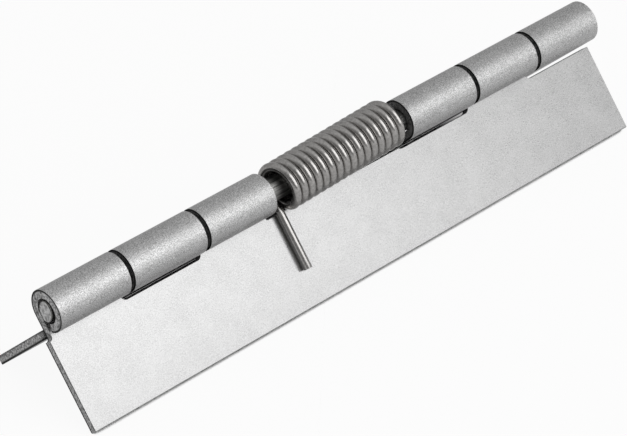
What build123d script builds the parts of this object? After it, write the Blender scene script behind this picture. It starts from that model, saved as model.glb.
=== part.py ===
from build123d import *
from math import acos, atan2, cos, degrees, pi, radians, sin, tan
import os

# Spring hinge with rolled steel leaves, in millimetres, +Z up.
# The hinge stands like a tent on the long free edges of its two leaves, with the barrel along X at the
# top. The front leaf slopes down towards -Y and the rear leaf towards +Y. Each leaf is one piece of
# sheet, a notched blank whose tabs are rolled round the pin. A torsion spring is wound round the pin
# in the middle window, and its two straight legs press on the outer faces of the leaves.
# The origin is on the surface that the hinge stands on, under the middle of the barrel.

os.makedirs("parts", exist_ok=True)

# Sheet, pin and barrel
sheet = 1.5
pin_diameter = 4.0
pin_clearance = 0.15
pin_stand_out = 0.25
pin_chamfer = 0.3

# Leaves: width from the pin's axis to the free edge, and the angle between their backs as they stand
leaf_width = 20.0
standing_angle = 85.5

# Knuckles, from left to right along the barrel
left_inset = 0.65
right_inset = 0.25
front_knuckle = 13.9
rear_knuckle = 14.75
end_knuckle = 14.0
knuckle_gap = 0.85
spring_window = 30.5

# Notches between the tabs, and the opening left where a rolled tab meets its own leaf
notch_clearance = 0.8
notch_corner = 1.0
window_step = 0.3
window_corner = 0.3
roll_opening = 0.65

# Torsion spring. Its coil is loose on the pin, so it stands a little high, a little to the right and a
# little askew: at each end it leans towards the leaf that the leg there presses on.
wire = 1.5
wire_flats = 8
turn_corners = 18
coil_diameter = 7.15
coil_gap = 0.12
coil_lift = 0.25
coil_slide = 0.18
coil_lean = 0.63
coil_end_room = 1.4
leg_bend = 1.5
leg_reach = 14.1
leg_clearance = 0.03

# Sizes that follow
bore_radius = pin_diameter / 2 + pin_clearance
barrel_radius = bore_radius + sheet
notch_depth = barrel_radius + notch_clearance
half_angle = radians(standing_angle / 2)
barrel_height = leaf_width * cos(half_angle) + barrel_radius * sin(half_angle)

lengths = [front_knuckle, rear_knuckle, front_knuckle, rear_knuckle, front_knuckle, end_knuckle]
gaps = [knuckle_gap, knuckle_gap, spring_window, knuckle_gap, knuckle_gap, right_inset]
spans = []
place = left_inset
for length, gap in zip(lengths, gaps):
    spans.append((place, place + length))
    place += length + gap
leaf_length = place
window = (spans[2][1], spans[3][0])


def seen_from_right(stretch):
    """A stretch of the barrel measured from the right-hand end, where the rear leaf starts."""
    return (leaf_length - stretch[1], leaf_length - stretch[0])


# Each leaf's plane has its origin on the pin's axis at the leaf's own left end, X along the barrel,
# Y up the leaf towards the barrel and Z out of its outer face. The rear leaf is turned half round.
front_plane = Plane(
    origin=(-leaf_length / 2, 0, barrel_height),
    x_dir=(1, 0, 0),
    z_dir=(0, -cos(half_angle), sin(half_angle)),
)
rear_plane = Plane(
    origin=(leaf_length / 2, 0, barrel_height),
    x_dir=(-1, 0, 0),
    z_dir=(0, cos(half_angle), sin(half_angle)),
)


def rolled_leaf(plane, own, other, middle):
    """A leaf with its own knuckles, and notches for the other leaf's knuckles and the spring."""
    over = sheet
    notches = [(middle[0], middle[1], notch_depth - window_step, window_corner)]
    for start, end in other:
        notches.append((start - knuckle_gap, end + knuckle_gap, notch_depth, notch_corner))
    # The other leaf has the last knuckle at this leaf's far end, so its notch is open there
    notches[-1] = (other[-1][0] - knuckle_gap, leaf_length + notch_corner, notch_depth, notch_corner)
    with BuildPart() as leaf:
        # The blank, from the free edge to the line where the roll starts
        with BuildSketch(plane.offset(-barrel_radius)):
            Rectangle(leaf_length, leaf_width, align=(Align.MIN, Align.MAX))
            for start, end, depth, corner in notches:
                with BuildLine():
                    sides = FilletPolyline(
                        (start, over), (start, -depth), (end, -depth), (end, over), radius=corner
                    )
                    Line(sides @ 1, sides @ 0)
                make_face(mode=Mode.SUBTRACT)
            with Locations((own[0][0] / 2, (over - notch_depth) / 2)):
                Rectangle(own[0][0], over + notch_depth, mode=Mode.SUBTRACT)
        extrude(amount=sheet)
        # The tabs, rolled from the back over the top until they nearly meet the outer face
        roll_angle = 360 - degrees(acos((bore_radius - roll_opening) / barrel_radius))
        for start, end in own:
            across = Plane(
                origin=plane.from_local_coords((start, 0, 0)), x_dir=-plane.z_dir, z_dir=plane.x_dir
            )
            with BuildSketch(across):
                with BuildLine():
                    outside = CenterArc((0, 0), barrel_radius, 0, roll_angle)
                    inside = CenterArc((0, 0), bore_radius, 0, roll_angle)
                    Line(outside @ 0, inside @ 0)
                    Line(outside @ 1, inside @ 1)
                make_face()
            extrude(amount=end - start)
    return leaf


front_leaf = rolled_leaf(front_plane, spans[0::2], spans[1::2], window)
front_leaf.part.label = "front_leaf"

rear_spans = [seen_from_right(stretch) for stretch in reversed(spans)]
rear_leaf = rolled_leaf(rear_plane, rear_spans[0::2], rear_spans[1::2], seen_from_right(window))
rear_leaf.part.label = "rear_leaf"

# The pin runs right through and stands a little out of the end knuckles
pin_start = spans[0][0] - pin_stand_out
pin_end = spans[-1][1] + pin_stand_out
with BuildPart() as hinge_pin:
    with BuildSketch(Plane(origin=(pin_start - leaf_length / 2, 0, barrel_height), z_dir=(1, 0, 0))):
        Circle(pin_diameter / 2)
    extrude(amount=pin_end - pin_start)
    chamfer(hinge_pin.edges().filter_by(GeomType.CIRCLE), pin_chamfer)
hinge_pin.part.label = "hinge_pin"

# The spring is the same from either end. From its middle the wire winds to the left, leaves the coil on
# its way down behind the front leaf, and bends back to lie flat on the leaf's outer face. To keep the
# mesh of its sixteen turns light, the wire has flats and each turn runs straight between its corners.
coil_radius = coil_diameter / 2
coil_pitch = wire + coil_gap
down_leaf = Vector(0, -sin(half_angle), -cos(half_angle))
window_middle = (window[0] + window[1] - leaf_length) / 2
spring_middle = Vector(window_middle + coil_slide, 0, barrel_height + coil_lift)

leg_below_barrel_axis = bore_radius - wire / 2 - leg_clearance
leg_below_coil_axis = leg_below_barrel_axis + coil_lift * sin(half_angle) + coil_lean * cos(half_angle)
leave_angle = acos((leg_bend + leg_below_coil_axis) / (leg_bend + coil_radius))
turns_each_way = int(((window[1] - window[0] - wire) / 2 - coil_end_room) / coil_pitch)
wound_angle = 2 * pi * turns_each_way + leave_angle + half_angle - pi / 2
coil_steps = round(turn_corners * wound_angle / (2 * pi))
bend_steps = 4

# X points down, Y to the front and Z along the coil to the left
lean_angle = atan2(coil_lean, turns_each_way * coil_pitch)
coil_plane = Plane(spring_middle, x_dir=(0, 0, -1), z_dir=(-cos(lean_angle), -sin(lean_angle), 0))

corners = []
for step in range(coil_steps + 1):
    angle = wound_angle * step / coil_steps
    on_coil = (coil_radius * cos(angle), coil_radius * sin(angle), coil_pitch * angle / (2 * pi))
    corners.append(coil_plane.from_local_coords(on_coil))
onward = (-coil_radius * sin(wound_angle), coil_radius * cos(wound_angle), coil_pitch / (2 * pi))
heading = (coil_plane.from_local_coords(onward) - spring_middle).normalized()
turn = atan2(heading.cross(down_leaf).length, heading.dot(down_leaf))
bend_end = corners[-1] + (heading + down_leaf) * leg_bend * tan(turn / 2)
barrel_axis_to_bend = (bend_end - Vector(0, 0, barrel_height)).dot(down_leaf)
leg_end = bend_end + down_leaf * (leg_reach - barrel_axis_to_bend)

with BuildPart() as torsion_spring:
    with BuildLine() as wire_path:
        bend = TangentArc(corners[-1], bend_end, tangent=heading, mode=Mode.PRIVATE)
        corners.extend(bend @ (step / bend_steps) for step in range(1, bend_steps + 1))
        Polyline(*corners, leg_end)
        add(wire_path.line.rotate(Axis(spring_middle, (0, 0, 1)), 180))
    with BuildSketch(Plane(origin=leg_end, x_dir=(1, 0, 0), z_dir=-down_leaf)):
        RegularPolygon(wire / 2, wire_flats, rotation=180 / wire_flats)
    sweep(path=wire_path.wires()[0], transition=Transition.RIGHT)
torsion_spring.part.label = "torsion_spring"

export_step(front_leaf.part, "parts/front_leaf.step")
export_step(rear_leaf.part, "parts/rear_leaf.step")
export_step(hinge_pin.part, "parts/hinge_pin.step")
export_step(torsion_spring.part, "parts/torsion_spring.step")
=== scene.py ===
from math import acos, atan2, cos, hypot, pi, radians, sin, tan

import bmesh
import bpy
from mathutils import Matrix, Vector


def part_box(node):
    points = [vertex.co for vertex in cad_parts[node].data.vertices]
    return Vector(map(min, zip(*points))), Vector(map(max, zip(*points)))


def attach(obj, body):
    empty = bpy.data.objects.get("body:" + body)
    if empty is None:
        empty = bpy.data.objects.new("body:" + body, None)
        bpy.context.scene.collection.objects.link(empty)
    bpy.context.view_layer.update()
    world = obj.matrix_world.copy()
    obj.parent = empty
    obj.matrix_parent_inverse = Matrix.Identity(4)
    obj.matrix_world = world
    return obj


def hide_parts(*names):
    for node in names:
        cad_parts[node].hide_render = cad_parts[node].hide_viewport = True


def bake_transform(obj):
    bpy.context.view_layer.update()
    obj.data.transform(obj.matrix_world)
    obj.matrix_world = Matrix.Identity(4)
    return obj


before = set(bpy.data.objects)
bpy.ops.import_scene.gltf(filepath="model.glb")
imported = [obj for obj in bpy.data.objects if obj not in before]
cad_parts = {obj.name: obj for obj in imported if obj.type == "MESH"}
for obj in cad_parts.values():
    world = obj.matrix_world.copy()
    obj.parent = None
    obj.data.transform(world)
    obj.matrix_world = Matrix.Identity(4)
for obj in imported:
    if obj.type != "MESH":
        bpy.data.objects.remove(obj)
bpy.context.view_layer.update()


# The two leaves. Each is one piece of 1.5 mm stainless sheet: blanked with notches for the other
# leaf's knuckles and for the spring, and its three tabs are then rolled round a 4 mm mandrel. The
# front leaf has the first, third and fifth knuckle, the rear leaf the second, fourth and sixth.
mm = 0.001
leaf_length = 120 * mm
leaf_width = 20 * mm
sheet = 1.5 * mm
bore_radius = 2.15 * mm
rolled_radius = bore_radius + sheet / 2
roll_angle = radians(294.3)
roll_steps = 84
front_knuckle = 13.9 * mm
rear_knuckle = 14.75 * mm
end_knuckle = 14.0 * mm
knuckle_gap = 0.85 * mm
left_inset = 0.65 * mm
right_inset = 0.25 * mm
spring_window = 30.5 * mm
notch_depth = 4.45 * mm
window_depth = 4.15 * mm
notch_corner = 1.0 * mm
window_corner = 0.3 * mm
step_corner_share = 0.95
edge_round = 0.12 * mm
free_edge_round = 0.2 * mm
corner_segments = 8
half_angle = radians(85.5 / 2)
leaf_slope = pi / 2 - half_angle
pin_low, pin_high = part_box("hinge_pin")
barrel_height = (pin_low.z + pin_high.z) / 2
near = 0.01 * mm


def pick(kind, wanted):
    """Selects the vertices, edges or faces in edit mode that pass a test on their middle."""
    bpy.ops.mesh.select_mode(type=kind)
    bpy.ops.mesh.select_all(action="DESELECT")
    mesh = bmesh.from_edit_mesh(bpy.context.edit_object.data)
    for part in {"VERT": mesh.verts, "EDGE": mesh.edges, "FACE": mesh.faces}[kind]:
        if kind == "VERT":
            middle = part.co
        elif kind == "EDGE":
            middle = (part.verts[0].co + part.verts[1].co) / 2
        else:
            middle = part.calc_center_median()
        part.select_set(bool(wanted(part, middle)))
    bmesh.update_edit_mesh(bpy.context.edit_object.data)


def cut_across(place, direction):
    """Divides the open mesh with a plane."""
    bpy.ops.mesh.select_all(action="SELECT")
    bpy.ops.mesh.bisect(plane_co=place, plane_no=direction)


def rolled_leaf(name, half_turn, tabs, others):
    """A leaf laid out flat, notched, rolled, given its thickness and stood in its place on the pin.
    Lengths run along the leaf from its own left end. The rear leaf is turned half round."""
    # The notches clear the other leaf's knuckles, and the last one is open at the leaf's far end.
    # The spring's window lies between the middle tab and the notch after it.
    start = tabs[0][0]
    past_end = leaf_length + 2 * mm
    notches = [(low - knuckle_gap, high + knuckle_gap) for low, high in others[:-1]]
    notches.append((others[-1][0] - knuckle_gap, past_end))
    window = (tabs[1][1], notches[1][0])
    bpy.ops.object.select_all(action="DESELECT")
    middle_of_sheet = -rolled_radius
    bpy.ops.mesh.primitive_plane_add(size=1, location=(0, -leaf_width / 2, middle_of_sheet))
    leaf = bpy.context.object
    leaf.name = name
    leaf.scale = (leaf_length, leaf_width, 1)
    bpy.ops.object.transform_apply(location=True, rotation=True, scale=True)
    left = -leaf_length / 2
    openings = [(left + a, left + b, notch_depth) for a, b in notches]
    openings.append((left + window[0], left + window[1], window_depth))
    openings.append((left - 1 * mm, left + start, notch_depth))
    bpy.ops.object.mode_set(mode="EDIT")
    for low, high, depth in openings:
        cut_across((low, 0, 0), (1, 0, 0))
        cut_across((high, 0, 0), (1, 0, 0))
        cut_across((0, -depth, 0), (0, 1, 0))

    def in_opening(face, middle):
        return any(low < middle.x < high and middle.y > -depth for low, high, depth in openings)

    pick("FACE", in_opening)
    bpy.ops.mesh.delete(type="FACE")
    bpy.ops.mesh.select_all(action="SELECT")
    bpy.ops.mesh.dissolve_limited(angle_limit=radians(1))

    # The corners of the notches, of the window and of the small step at the leaf's end are rounded
    notch_ends = [left + end for notch in notches for end in notch]
    window_ends = [left + end for end in window]
    for depth, ends, radius in (
        (notch_depth, notch_ends, notch_corner),
        (window_depth, window_ends, window_corner),
        (notch_depth, [left + start], step_corner_share * start),
    ):

        def at_corner(vertex, middle):
            on_depth = abs(middle.y + depth) < near
            return on_depth and any(abs(middle.x - end) < near for end in ends)

        pick("VERT", at_corner)
        bpy.ops.mesh.bevel(
            affect="VERTICES", offset=radius, segments=corner_segments, profile=0.5
        )

    # The tabs are rolled over the top of the barrel until they nearly meet the outer face
    def at_roll_start(edge, middle):
        level = abs(edge.verts[0].co.y) < near and abs(edge.verts[1].co.y) < near
        return level and any(left + a - near < middle.x < left + b + near for a, b in tabs)

    pick("EDGE", at_roll_start)
    bpy.ops.mesh.spin(
        steps=roll_steps, angle=-roll_angle, center=(0, 0, 0), axis=(1, 0, 0), dupli=False
    )
    bpy.ops.mesh.select_all(action="SELECT")
    bpy.ops.mesh.remove_doubles(threshold=0.001 * mm)
    bpy.ops.mesh.normals_make_consistent(inside=False)
    bpy.ops.object.mode_set(mode="OBJECT")

    # The first material is the sheet's surface and the second its cut edges
    leaf.data.materials.append(None)
    leaf.data.materials.append(None)
    thickness = leaf.modifiers.new("thickness", "SOLIDIFY")
    thickness.thickness = sheet
    thickness.offset = 0
    thickness.material_offset_rim = 1
    bpy.ops.object.modifier_apply(modifier="thickness")

    # The free long edge is rounded more than the others
    def at_free_edge(edge, middle):
        on_edge = all(abs(vertex.co.y + leaf_width) < near for vertex in edge.verts)
        return on_edge and abs(middle.x) < near

    bpy.ops.object.mode_set(mode="EDIT")
    pick("EDGE", at_free_edge)
    bpy.ops.mesh.bevel(affect="EDGES", offset=free_edge_round, segments=4)
    bpy.ops.object.mode_set(mode="OBJECT")
    rounding = leaf.modifiers.new("sheared edges", "BEVEL")
    rounding.width = edge_round
    rounding.segments = 3
    rounding.limit_method = "ANGLE"
    rounding.angle_limit = radians(50)
    rounding.harden_normals = True
    rounding.material = 1
    bpy.ops.object.shade_smooth()
    bpy.ops.object.modifier_apply(modifier="sheared edges")
    # How far each point lies from the sheet's inner face, for the look of its cut edges
    depth = leaf.data.attributes.new("sheet_depth", "FLOAT", "POINT")
    for vertex in leaf.data.vertices:
        up_leaf, outward = vertex.co.y, vertex.co.z
        on_plate = up_leaf < 0 and outward < near - bore_radius
        from_axis = -outward if on_plate else hypot(up_leaf, outward)
        depth.data[vertex.index].value = rolled_radius + sheet / 2 - from_axis
    # Rolling rubs the rims of the knuckles bright
    for face in leaf.data.polygons:
        on_barrel = face.center.y ** 2 + face.center.z ** 2 < (rolled_radius + sheet) ** 2
        if on_barrel and abs(face.normal.x) < 0.9:
            face.material_index = 0
    leaf.location.z = barrel_height
    leaf.rotation_euler = (leaf_slope, 0, half_turn)
    bpy.ops.object.transform_apply(location=True, rotation=True, scale=True)
    return leaf


# The knuckles along the barrel, measured from the hinge's left end and from its right
lengths = [front_knuckle, rear_knuckle, front_knuckle, rear_knuckle, front_knuckle, end_knuckle]
gaps = [knuckle_gap, knuckle_gap, spring_window, knuckle_gap, knuckle_gap, right_inset]
knuckles = []
place = left_inset
for length, gap in zip(lengths, gaps):
    knuckles.append((place, place + length))
    place += length + gap
from_right = [(leaf_length - high, leaf_length - low) for low, high in reversed(knuckles)]

front_leaf = rolled_leaf(
    "front_leaf_sheet", half_turn=0, tabs=knuckles[0::2], others=knuckles[1::2]
)
rear_leaf = rolled_leaf(
    "rear_leaf_sheet", half_turn=pi, tabs=from_right[0::2], others=from_right[1::2]
)


def linear(colour):
    """An sRGB hex colour as Blender's linear red, green, blue and alpha."""
    parts = [int(colour[i : i + 2], 16) / 255 for i in (1, 3, 5)]
    return [p / 12.92 if p <= 0.04045 else ((p + 0.055) / 1.055) ** 2.4 for p in parts] + [1]


def add_node(tree, kind, settings=(), links=()):
    """Adds a node, sets its properties and its sockets (by name or number), and links other nodes'
    outputs to its sockets."""
    node = tree.nodes.new(kind)
    for name, value in dict(settings).items():
        if isinstance(name, int) or name in node.inputs:
            node.inputs[name].default_value = value
        else:
            setattr(node, name, value)
    for name, output in dict(links).items():
        tree.links.new(output, node.inputs[name])
    return node


def new_material(name):
    """A new material and its emptied node tree."""
    material = bpy.data.materials.new(name)
    material.use_nodes = True
    material.node_tree.nodes.clear()
    return material, material.node_tree


def reach_from_axis(tree, coords):
    """How far a point lies from the barrel's axis, which tells the knuckles from the plate."""
    from_axis = add_node(
        tree,
        "ShaderNodeVectorMath",
        {"operation": "MULTIPLY_ADD", 1: (0, 1, 1), 2: (0, 0, -barrel_height)},
        {0: coords},
    )
    reach = add_node(
        tree,
        "ShaderNodeVectorMath",
        {"operation": "LENGTH"},
        {0: from_axis.outputs[0]},
    )
    return reach.outputs["Value"]


# Stainless sheet with a tumbled satin finish: bead-fine dents all over make it pale and soft, with
# a slight mottle a few millimetres wide. Rolling leaves the knuckles a little brighter and rougher.
# The real dents are finer than 0.1 mm. They are drawn 0.14 mm wide, so that they show.
satin_sheet, tree = new_material("tumbled_stainless_sheet")
coords = add_node(tree, "ShaderNodeTexCoord").outputs["Object"]
reach = reach_from_axis(tree, coords)
rolled = add_node(
    tree,
    "ShaderNodeMapRange",
    {"From Min": 4.4 * mm, "From Max": 3.8 * mm, "To Min": 0, "To Max": 1},
    {"Value": reach},
)
grain = add_node(
    tree,
    "ShaderNodeTexNoise",
    {"Scale": 1 / (0.14 * mm), "Detail": 1, "Roughness": 0.5},
    {"Vector": coords},
)
mottle = add_node(
    tree,
    "ShaderNodeTexNoise",
    {"Scale": 1 / (4 * mm), "Detail": 3, "Roughness": 0.6},
    {"Vector": coords},
)
both = add_node(
    tree,
    "ShaderNodeMix",
    {"data_type": "FLOAT", "Factor": 0.2},
    {"A": grain.outputs["Fac"], "B": mottle.outputs["Fac"]},
)
shade = add_node(tree, "ShaderNodeValToRGB", (), {"Fac": both.outputs["Result"]})
shade.color_ramp.elements[0].position = 0.4
shade.color_ramp.elements[0].color = linear("#a1a1a1")
shade.color_ramp.elements[1].position = 0.6
shade.color_ramp.elements[1].color = linear("#bdbdbd")
glint = add_node(tree, "ShaderNodeValToRGB", (), {"Fac": grain.outputs["Fac"]})
glint.color_ramp.elements[0].position = 0.38
glint.color_ramp.elements[0].color = linear("#0e0e0e")
glint.color_ramp.elements[1].position = 0.62
glint.color_ramp.elements[1].color = linear("#8a8a8a")
brighter = add_node(
    tree,
    "ShaderNodeMix",
    {"data_type": "RGBA", "blend_type": "ADD"},
    {"Factor": rolled.outputs["Result"], "A": shade.outputs["Color"], "B": glint.outputs["Color"]},
)
plain = add_node(
    tree,
    "ShaderNodeMapRange",
    {"From Min": 0.3, "From Max": 0.7, "To Min": 0.26, "To Max": 0.36},
    {"Value": both.outputs["Result"]},
)
rough = add_node(
    tree,
    "ShaderNodeMath",
    {"operation": "MULTIPLY_ADD", 1: 0.12},
    {0: rolled.outputs["Result"], 2: plain.outputs["Result"]},
)
deeper = add_node(
    tree,
    "ShaderNodeMapRange",
    {"From Min": 0, "From Max": 1, "To Min": 0.14, "To Max": 1},
    {"Value": rolled.outputs["Result"]},
)
dents = add_node(
    tree,
    "ShaderNodeBump",
    {"Distance": 0.055 * mm},
    {"Height": both.outputs["Result"], "Strength": deeper.outputs["Result"]},
)
metal = add_node(
    tree,
    "ShaderNodeBsdfPrincipled",
    {"Metallic": 1.0},
    {
        "Base Color": brighter.outputs[2],
        "Roughness": rough.outputs[0],
        "Normal": dents.outputs["Normal"],
    },
)
add_node(tree, "ShaderNodeOutputMaterial", (), {"Surface": metal.outputs["BSDF"]})

# The blanking die shears the cut edges of the sheet. They are darker and rougher than its faces,
# and darkest along the inner face, where the metal broke away. The rim along the outer face is
# darker too, except on the knuckles. The edges in the barrel's gaps and notches, but not those at
# its two open ends, are darkened further: painted shade.
# The tears are drawn 0.4 mm wide, coarser than real, so that they show.
torn_edge, tree = new_material("blanked_stainless_edge")
coords = add_node(tree, "ShaderNodeTexCoord").outputs["Object"]
tears = add_node(
    tree,
    "ShaderNodeTexNoise",
    {"Scale": 1 / (0.4 * mm), "Detail": 4, "Roughness": 0.7},
    {"Vector": coords},
)
shade = add_node(tree, "ShaderNodeValToRGB", (), {"Fac": tears.outputs["Fac"]})
shade.color_ramp.elements[0].position = 0.38
shade.color_ramp.elements[0].color = linear("#7a7a7a")
shade.color_ramp.elements[1].position = 0.62
shade.color_ramp.elements[1].color = linear("#f0f0f0")
from_inside = add_node(tree, "ShaderNodeAttribute", {"attribute_name": "sheet_depth"})
wavy = add_node(
    tree,
    "ShaderNodeMath",
    {"operation": "MULTIPLY_ADD", 1: -0.4 * mm},
    {0: tears.outputs["Fac"], 2: from_inside.outputs["Fac"]},
)
torn_strip = add_node(
    tree,
    "ShaderNodeMapRange",
    {"From Min": 0.2 * mm, "From Max": 0.05 * mm, "To Min": 0, "To Max": 1},
    {"Value": wavy.outputs[0]},
)
reach = reach_from_axis(tree, coords)
not_rolled = add_node(
    tree,
    "ShaderNodeMapRange",
    {"From Min": 3.8 * mm, "From Max": 4.4 * mm, "To Min": 0, "To Max": 0.6},
    {"Value": reach},
)
# Darker along the rim of the outer face, except on the knuckles
darker_outer_rim = add_node(
    tree,
    "ShaderNodeMapRange",
    {"From Min": 0.95 * mm, "From Max": 1.15 * mm, "To Min": 0},
    {"Value": wavy.outputs[0], "To Max": not_rolled.outputs["Result"]},
)
both_rims = add_node(
    tree,
    "ShaderNodeMath",
    {"operation": "MAXIMUM"},
    {0: torn_strip.outputs["Result"], 1: darker_outer_rim.outputs["Result"]},
)
darker = add_node(
    tree,
    "ShaderNodeMix",
    {"data_type": "RGBA", "B": linear("#484848")},
    {"Factor": both_rims.outputs[0], "A": shade.outputs["Color"]},
)
# Painted shade: the edges near the barrel, away from its two open ends, are darkened
along_barrel = add_node(tree, "ShaderNodeSeparateXYZ", (), {"Vector": coords})
off_middle = add_node(
    tree,
    "ShaderNodeMath",
    {"operation": "ABSOLUTE"},
    {0: along_barrel.outputs["X"]},
)
near_barrel = add_node(
    tree,
    "ShaderNodeMapRange",
    {"From Min": 5.6 * mm, "From Max": 5.2 * mm, "To Min": 0, "To Max": 0.55},
    {"Value": reach},
)
painted_gap_shade = add_node(
    tree,
    "ShaderNodeMapRange",
    {"From Min": 59.2 * mm, "From Max": 58.6 * mm, "To Min": 0},
    {"Value": off_middle.outputs[0], "To Max": near_barrel.outputs["Result"]},
)
# The painted shade in the barrel's gaps and notches is mixed into the edge's colour
with_painted_gap_shade = add_node(
    tree,
    "ShaderNodeMix",
    {"data_type": "RGBA", "B": linear("#262626")},
    {"Factor": painted_gap_shade.outputs["Result"], "A": darker.outputs[2]},
)
ridges = add_node(
    tree,
    "ShaderNodeBump",
    {"Strength": 0.6, "Distance": 0.05 * mm},
    {"Height": tears.outputs["Fac"]},
)
metal = add_node(
    tree,
    "ShaderNodeBsdfPrincipled",
    {"Metallic": 1.0, "Roughness": 0.7},
    {"Base Color": with_painted_gap_shade.outputs[2], "Normal": ridges.outputs["Normal"]},
)
add_node(tree, "ShaderNodeOutputMaterial", (), {"Surface": metal.outputs["BSDF"]})

# Each sheet stands for the node of its leaf and rides on the body of the same name
for leaf, name in ((front_leaf, "front_leaf"), (rear_leaf, "rear_leaf")):
    leaf.data.materials[0] = satin_sheet
    leaf.data.materials[1] = torn_edge
    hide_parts(name)
    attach(leaf, name)


# The pin. A plain length of 4 mm drawn stainless rod, cropped to length with its ends broken by a
# light chamfer, pushed through all six knuckles and the spring.
pin_radius = 2.0 * mm
pin_sides = 96
pin_chamfer = 0.3 * mm
bpy.ops.object.select_all(action="DESELECT")
bpy.ops.mesh.primitive_cylinder_add(
    vertices=pin_sides,
    radius=pin_radius,
    depth=pin_high.x - pin_low.x,
    location=((pin_low + pin_high) / 2),
    rotation=(0, pi / 2, 0),
)
pin = bpy.context.object
pin.name = "hinge_pin_rod"
bpy.ops.object.transform_apply(location=True, rotation=True, scale=True)
bpy.ops.object.mode_set(mode="EDIT")


def on_end_rim(edge, middle):
    return abs(edge.verts[0].co.x - edge.verts[1].co.x) < near


pick("EDGE", on_end_rim)
bpy.ops.mesh.bevel(affect="EDGES", offset=pin_chamfer, segments=3, profile=0.6)

# The shears that cropped the rod have pressed its tips narrower from front and back, and left the
# middle of each end face slightly hollow
pressed_length = 1.2 * mm
pressed_taper = 0.36 * mm
pressed_shape = (1, 0.74, 0.97)
cropped_rim = 0.3 * mm
cropped_hollow = 0.04 * mm
for end, inward in ((pin_low.x, 1), (pin_high.x, -1)):
    cut_across((end + (pressed_length + pressed_taper) * inward, 0, 0), (1, 0, 0))
    cut_across((end + pressed_length * inward, 0, 0), (1, 0, 0))

    def on_tip(vertex, middle):
        return abs(middle.x - end) < pressed_length + near

    pick("VERT", on_tip)
    bpy.ops.transform.resize(value=pressed_shape, center_override=(end, 0, barrel_height))

    def on_end_face(face, middle):
        return abs(middle.x - end) < near

    pick("FACE", on_end_face)
    bpy.ops.mesh.inset(thickness=cropped_rim, depth=-cropped_hollow)
bpy.ops.object.mode_set(mode="OBJECT")
bpy.ops.object.shade_smooth_by_angle(angle=radians(35))

# Drawn stainless rod: fine lines along its length, darker than the sheet. The real lines are finer,
# and are drawn 0.35 mm apart so that they show.
drawn_rod, tree = new_material("drawn_stainless_rod")
coords = add_node(tree, "ShaderNodeTexCoord").outputs["Object"]
along = add_node(tree, "ShaderNodeMapping", {"Scale": (0.03, 1, 1)}, {"Vector": coords})
lines = add_node(
    tree,
    "ShaderNodeTexNoise",
    {"Scale": 1 / (0.35 * mm), "Detail": 3, "Roughness": 0.6},
    {"Vector": along.outputs["Vector"]},
)
colour = add_node(tree, "ShaderNodeValToRGB", (), {"Fac": lines.outputs["Fac"]})
colour.color_ramp.elements[0].position = 0.35
colour.color_ramp.elements[0].color = linear("#6a6a68")
colour.color_ramp.elements[1].position = 0.65
colour.color_ramp.elements[1].color = linear("#a8a8a6")
rough = add_node(
    tree,
    "ShaderNodeMapRange",
    {"From Min": 0.3, "From Max": 0.7, "To Min": 0.28, "To Max": 0.42},
    {"Value": lines.outputs["Fac"]},
)
scores = add_node(
    tree,
    "ShaderNodeBump",
    {"Strength": 0.3, "Distance": 0.02 * mm},
    {"Height": lines.outputs["Fac"]},
)
metal = add_node(
    tree,
    "ShaderNodeBsdfPrincipled",
    {"Metallic": 1.0},
    {
        "Base Color": colour.outputs["Color"],
        "Roughness": rough.outputs["Result"],
        "Normal": scores.outputs["Normal"],
    },
)
add_node(tree, "ShaderNodeOutputMaterial", (), {"Surface": metal.outputs["BSDF"]})
pin.data.materials.append(drawn_rod)

# The cropped face of the rod is torn and pale. The tears are drawn 0.6 mm wide, coarser than real.
cropped_face, tree = new_material("cropped_rod_face")
coords = add_node(tree, "ShaderNodeTexCoord").outputs["Object"]
tears = add_node(
    tree,
    "ShaderNodeTexNoise",
    {"Scale": 1 / (0.6 * mm), "Detail": 3, "Roughness": 0.6},
    {"Vector": coords},
)
shade = add_node(tree, "ShaderNodeValToRGB", (), {"Fac": tears.outputs["Fac"]})
shade.color_ramp.elements[0].position = 0.38
shade.color_ramp.elements[0].color = linear("#9a9a9a")
shade.color_ramp.elements[1].position = 0.62
shade.color_ramp.elements[1].color = linear("#e6e6e6")
ridges = add_node(
    tree,
    "ShaderNodeBump",
    {"Strength": 0.8, "Distance": 0.08 * mm},
    {"Height": tears.outputs["Fac"]},
)
metal = add_node(
    tree,
    "ShaderNodeBsdfPrincipled",
    {"Metallic": 1.0, "Roughness": 0.45},
    {"Base Color": shade.outputs["Color"], "Normal": ridges.outputs["Normal"]},
)
add_node(tree, "ShaderNodeOutputMaterial", (), {"Surface": metal.outputs["BSDF"]})
pin.data.materials.append(cropped_face)
for face in pin.data.polygons:
    face.material_index = int(abs(face.normal.x) > 0.9)
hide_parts("hinge_pin")
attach(pin, "front_leaf")


# The torsion spring. Sixteen close coils of 1.5 mm stainless spring wire, loose on the pin, with a
# straight leg at each end that presses on the outer face of a leaf. It is the same from either end,
# so one half is wound and its copy is turned half round.
wire_radius = 0.75 * mm
wire_sides = 24
coil_radius = 3.575 * mm
coil_pitch = 1.62 * mm
coil_lift = 0.25 * mm
coil_slide = 0.18 * mm
coil_lean = 0.63 * mm
steps_a_turn = 48
turns_each_way = 8
leg_bend = 1.5 * mm
bend_steps = 10
leg_reach = 14.1 * mm
leg_clearance = 0.03 * mm
leg_end_round = 0.1 * mm
window_middle = (knuckles[2][1] + knuckles[3][0] - leaf_length) / 2
spring_middle = Vector((window_middle + coil_slide, 0, barrel_height + coil_lift))
leg_below_barrel_axis = bore_radius - wire_radius - leg_clearance
leg_below_coil_axis = (
    leg_below_barrel_axis + coil_lift * sin(half_angle) + coil_lean * cos(half_angle)
)
leave_angle = acos((leg_bend + leg_below_coil_axis) / (leg_bend + coil_radius))
wound_angle = 2 * pi * turns_each_way + leave_angle + half_angle - pi / 2
lean_angle = atan2(coil_lean, turns_each_way * coil_pitch)

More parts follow.
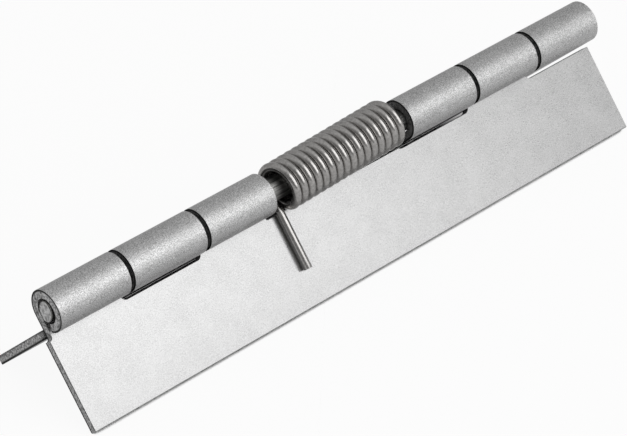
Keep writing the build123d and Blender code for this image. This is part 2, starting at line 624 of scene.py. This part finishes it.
# Down, to the front and along the coil to the left are the winding's own X, Y and Z
down = Vector((0, 0, -1))
to_front = Vector((sin(lean_angle), -cos(lean_angle), 0))
along_coil = Vector((-cos(lean_angle), -sin(lean_angle), 0))
winding = Matrix((down, to_front, along_coil)).transposed().to_4x4()
winding.translation = spring_middle

bpy.ops.object.select_all(action="DESELECT")
bpy.ops.mesh.primitive_circle_add(
    vertices=wire_sides,
    radius=wire_radius,
    location=(coil_radius, 0, 0),
    rotation=(pi / 2, 0, 0),
)
spring = bpy.context.object
spring.name = "torsion_spring_wire"
bpy.ops.object.transform_apply(location=True, rotation=True, scale=True)
coil = spring.modifiers.new("coil", "SCREW")
coil.axis = "Z"
coil.angle = wound_angle
coil.screw_offset = coil_pitch * wound_angle / (2 * pi)
coil.steps = steps_a_turn * turns_each_way
coil.render_steps = coil.steps
coil.use_normal_calculate = True
bpy.ops.object.modifier_apply(modifier="coil")
spring.matrix_world = winding
bpy.ops.object.transform_apply(location=True, rotation=True, scale=True)

# The wire leaves the coil on its way down and bends back, to lie flat on the leaf
down_leaf = Vector((0, -sin(half_angle), -cos(half_angle)))
coil_end = winding @ Vector(
    (
        coil_radius * cos(wound_angle),
        coil_radius * sin(wound_angle),
        coil_pitch * wound_angle / (2 * pi),
    )
)
leaving = winding.to_3x3() @ Vector(
    (
        -coil_radius * sin(wound_angle),
        coil_radius * cos(wound_angle),
        coil_pitch / (2 * pi),
    )
)
leaving.normalize()
bend_angle = leaving.angle(down_leaf)
bend_axis = leaving.cross(down_leaf).normalized()
bend_centre = coil_end + bend_axis.cross(leaving) * leg_bend
bend_end = coil_end + (leaving + down_leaf) * leg_bend * tan(bend_angle / 2)
barrel_axis_to_bend = (bend_end - Vector((0, 0, barrel_height))).dot(down_leaf)
leg_length = leg_reach - barrel_axis_to_bend

bpy.ops.object.mode_set(mode="EDIT")


def on_end_ring(edge, middle):
    return (middle - coil_end).length < 1.1 * wire_radius and edge.is_boundary


pick("EDGE", on_end_ring)
bpy.ops.mesh.spin(
    steps=bend_steps, angle=-bend_angle, center=bend_centre, axis=bend_axis, dupli=False
)

# The leg is drawn out a little too long, then cut off square, and the rim of its end is rounded
leg_slack = 0.5 * mm
bpy.ops.mesh.extrude_region_move(
    TRANSFORM_OT_translate={"value": down_leaf * (leg_length + leg_slack)}
)
bpy.ops.mesh.edge_face_add()
bpy.ops.mesh.select_all(action="SELECT")
bpy.ops.mesh.bisect(
    plane_co=bend_end + down_leaf * leg_length, plane_no=down_leaf, clear_outer=True, use_fill=True
)


def on_cut_rim(edge, middle):
    past = min((v.co - bend_end).dot(down_leaf) for v in edge.verts)
    return past > leg_length - near


pick("EDGE", on_cut_rim)
bpy.ops.mesh.bevel(affect="EDGES", offset=leg_end_round, segments=2)

# The copy is turned half round, and the two halves meet in the middle of the coil
bpy.ops.mesh.select_all(action="SELECT")
bpy.ops.mesh.duplicate()
bpy.ops.transform.rotate(value=pi, orient_axis="Z", center_override=spring_middle)
bpy.ops.mesh.select_all(action="SELECT")
bpy.ops.mesh.remove_doubles(threshold=0.002 * mm)
bpy.ops.mesh.normals_make_consistent(inside=False)
bpy.ops.object.mode_set(mode="OBJECT")
bpy.ops.object.shade_smooth_by_angle(angle=radians(40))

# Hard drawn spring wire: smoother and darker than the sheet, with a faint warm tint and blotches
# where the coiling tool rubbed it
spring_wire, tree = new_material("hard_drawn_spring_wire")
coords = add_node(tree, "ShaderNodeTexCoord").outputs["Object"]
grain = add_node(
    tree,
    "ShaderNodeTexNoise",
    {"Scale": 1 / (0.4 * mm), "Detail": 3, "Roughness": 0.6},
    {"Vector": coords},
)
colour = add_node(tree, "ShaderNodeValToRGB", (), {"Fac": grain.outputs["Fac"]})
colour.color_ramp.elements[0].position = 0.35
colour.color_ramp.elements[0].color = linear("#a5a3a1")
colour.color_ramp.elements[1].position = 0.65
colour.color_ramp.elements[1].color = linear("#bdbbb9")
rough = add_node(
    tree,
    "ShaderNodeMapRange",
    {"From Min": 0.3, "From Max": 0.7, "To Min": 0.2, "To Max": 0.27},
    {"Value": grain.outputs["Fac"]},
)
scores = add_node(
    tree,
    "ShaderNodeBump",
    {"Strength": 0.15, "Distance": 0.02 * mm},
    {"Height": grain.outputs["Fac"]},
)
metal = add_node(
    tree,
    "ShaderNodeBsdfPrincipled",
    {"Metallic": 1.0},
    {
        "Base Color": colour.outputs["Color"],
        "Roughness": rough.outputs["Result"],
        "Normal": scores.outputs["Normal"],
    },
)
add_node(tree, "ShaderNodeOutputMaterial", (), {"Surface": metal.outputs["BSDF"]})
spring.data.materials.append(spring_wire)
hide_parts("torsion_spring")
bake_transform(spring)


# The studio: a white paper floor with a painted shadow where the hinge covers it, a grey room that
# is lightest in front and dark at the right and the left front, and one large soft lamp high in
# front, whose reflection is the bright band along the barrel and the paleness of the front leaf.
floor_size = 6
floor_drop = 0.02 * mm
bpy.ops.object.select_all(action="DESELECT")
bpy.ops.mesh.primitive_plane_add(size=floor_size, location=(0, 0, -floor_drop))
floor = bpy.context.object
floor.name = "studio_floor"
white_floor, tree = new_material("white_paper")
place = add_node(tree, "ShaderNodeTexCoord").outputs["Object"]
across = add_node(tree, "ShaderNodeSeparateXYZ", (), {"Vector": place})

# Ambient occlusion finds the floor that the hinge covers, and a shadow is painted there, so that it
# follows the pose. It fades out towards the open ends of the leaves.
off_middle = add_node(
    tree,
    "ShaderNodeMath",
    {"operation": "ABSOLUTE"},
    {0: across.outputs["X"]},
)
along_leaves = add_node(
    tree,
    "ShaderNodeMapRange",
    {"From Min": 50 * mm, "From Max": 36 * mm, "To Min": 0, "To Max": 1},
    {"Value": off_middle.outputs[0]},
)
in_front = add_node(
    tree,
    "ShaderNodeMath",
    {"operation": "LESS_THAN", 1: -10 * mm},
    {0: across.outputs["Y"]},
)
stretch = add_node(
    tree,
    "ShaderNodeMath",
    {"operation": "MAXIMUM"},
    {0: along_leaves.outputs[0], 1: in_front.outputs[0]},
)
open_sky = add_node(tree, "ShaderNodeAmbientOcclusion", {"Distance": 20 * mm, "samples": 16})
crevice = add_node(
    tree,
    "ShaderNodeMapRange",
    {"From Min": 0.32, "From Max": 0.2, "To Min": 0, "To Max": 1},
    {"Value": open_sky.outputs["AO"]},
)
painted_shadow_under_hinge = add_node(
    tree,
    "ShaderNodeMath",
    {"operation": "MULTIPLY"},
    {0: stretch.outputs[0], 1: crevice.outputs[0]},
)

# The paper glows. The camera sees it as white, and the metal mirrors it as a painted glow, paler
# in front than behind.
ray = add_node(tree, "ShaderNodeLightPath")
seen = add_node(
    tree,
    "ShaderNodeMath",
    {"operation": "MULTIPLY", 1: 0.93},
    {0: ray.outputs["Is Camera Ray"]},
)
mirrored = add_node(
    tree,
    "ShaderNodeMath",
    {"operation": "MULTIPLY", 1: 0.7},
    {0: ray.outputs["Is Glossy Ray"]},
)
either = add_node(
    tree,
    "ShaderNodeMath",
    {"operation": "MAXIMUM"},
    {0: seen.outputs[0], 1: mirrored.outputs[0]},
)
# Under the painted shadow the paper stops glowing
share = add_node(
    tree,
    "ShaderNodeMath",
    {"operation": "SUBTRACT", "use_clamp": True},
    {0: either.outputs[0], 1: painted_shadow_under_hinge.outputs[0]},
)
# Painted glow for the metal's reflections: the paper glows brighter in front than behind
reflected_glow = add_node(
    tree,
    "ShaderNodeMapRange",
    {"From Min": -0.25, "From Max": 0.25, "To Min": 0.85, "To Max": 0.3},
    {"Value": across.outputs["Y"]},
)
level = add_node(
    tree,
    "ShaderNodeMath",
    {"operation": "MAXIMUM"},
    {0: reflected_glow.outputs[0], 1: ray.outputs["Is Camera Ray"]},
)
# The painted shadow darkens the paper's colour
paper_colour = add_node(
    tree,
    "ShaderNodeMix",
    {"data_type": "RGBA", "A": linear("#f2f2f2"), "B": linear("#1c1c1c")},
    {"Factor": painted_shadow_under_hinge.outputs[0]},
)
paper = add_node(tree, "ShaderNodeBsdfDiffuse", (), {"Color": paper_colour.outputs[2]})
glow = add_node(
    tree,
    "ShaderNodeEmission",
    {"Color": linear("#ffffff")},
    {"Strength": level.outputs[0]},
)
surface = add_node(
    tree,
    "ShaderNodeMixShader",
    (),
    {0: share.outputs[0], 1: paper.outputs[0], 2: glow.outputs[0]},
)
add_node(tree, "ShaderNodeOutputMaterial", (), {"Surface": surface.outputs[0]})
floor.data.materials.append(white_floor)

world = bpy.data.worlds.new("grey_room")
bpy.context.scene.world = world
world.use_nodes = True
tree = world.node_tree
tree.nodes.clear()
direction = add_node(tree, "ShaderNodeTexCoord").outputs["Generated"]
parts = add_node(tree, "ShaderNodeSeparateXYZ", (), {"Vector": direction})
from_front = add_node(
    tree,
    "ShaderNodeMapRange",
    {"From Min": -1, "From Max": 1, "To Min": 0.95, "To Max": 0.4},
    {"Value": parts.outputs["Y"]},
)
to_right = add_node(
    tree,
    "ShaderNodeMapRange",
    {"From Min": 0.68, "From Max": 0.86, "To Min": 1, "To Max": 0.08},
    {"Value": parts.outputs["X"]},
)
to_left_front = add_node(
    tree,
    "ShaderNodeVectorMath",
    {"operation": "DOT_PRODUCT", 1: (-0.75, -0.66, 0)},
    {0: direction},
)
dark_corner = add_node(
    tree,
    "ShaderNodeMapRange",
    {"From Min": 0.1, "From Max": 0.7, "To Min": 1, "To Max": 0.3},
    {"Value": to_left_front.outputs["Value"]},
)
sides = add_node(
    tree,
    "ShaderNodeMath",
    {"operation": "MULTIPLY"},
    {0: to_right.outputs[0], 1: dark_corner.outputs[0]},
)
shade = add_node(
    tree,
    "ShaderNodeMath",
    {"operation": "MULTIPLY"},
    {0: from_front.outputs[0], 1: sides.outputs[0]},
)

# Past the floor's far edge the camera sees the floor's white
ray = add_node(tree, "ShaderNodeLightPath")
backdrop = add_node(
    tree,
    "ShaderNodeMath",
    {"operation": "MULTIPLY", 1: 0.97},
    {0: ray.outputs["Is Camera Ray"]},
)
brightness = add_node(
    tree,
    "ShaderNodeMath",
    {"operation": "MAXIMUM"},
    {0: shade.outputs[0], 1: backdrop.outputs[0]},
)
room = add_node(
    tree,
    "ShaderNodeBackground",
    {"Color": linear("#ffffff")},
    {"Strength": brightness.outputs[0]},
)
add_node(tree, "ShaderNodeOutputWorld", (), {"Surface": room.outputs[0]})

# The soft lamp stands in front and a little to the right, and looks down at the hinge
lamp_turn = radians(-72)
lamp_rise = radians(41)
lamp_distance = 0.7
lamp_width = 0.6
lamp_height = 0.66
lamp_radiance = 1.48
to_lamp = Vector(
    (cos(lamp_rise) * cos(lamp_turn), cos(lamp_rise) * sin(lamp_turn), sin(lamp_rise))
)
softbox = bpy.data.lights.new("key_softbox", "AREA")
softbox.shape = "RECTANGLE"
softbox.size = lamp_width
softbox.size_y = lamp_height
softbox.energy = lamp_radiance * pi * lamp_width * lamp_height
lamp = bpy.data.objects.new("key_softbox", softbox)
lamp.location = to_lamp * lamp_distance
lamp.rotation_euler = (-to_lamp).to_track_quat("-Z", "Y").to_euler()
bpy.context.scene.collection.objects.link(lamp)

# The camera stands where the photograph was taken from, as fitted to the hinge's outline
camera_data = bpy.data.cameras.new("camera")
camera_data.lens = 181.32
camera_data.sensor_width = 36
camera_data.clip_start = 0.01
camera = bpy.data.objects.new("camera", camera_data)
camera_place = Vector((-288.51, -293.58, 321.66)) * mm
forward = Vector((0.55191, 0.56843, -0.61015)).normalized()
up = Vector((0.40436, 0.45748, 0.79196)).normalized()
right = forward.cross(up).normalized()
up = right.cross(forward)
view = Matrix((right, up, -forward)).transposed().to_4x4()
view.translation = camera_place
camera.matrix_world = view
bpy.context.scene.collection.objects.link(camera)
bpy.context.scene.camera = camera
bpy.context.scene.view_settings.view_transform = "Standard"
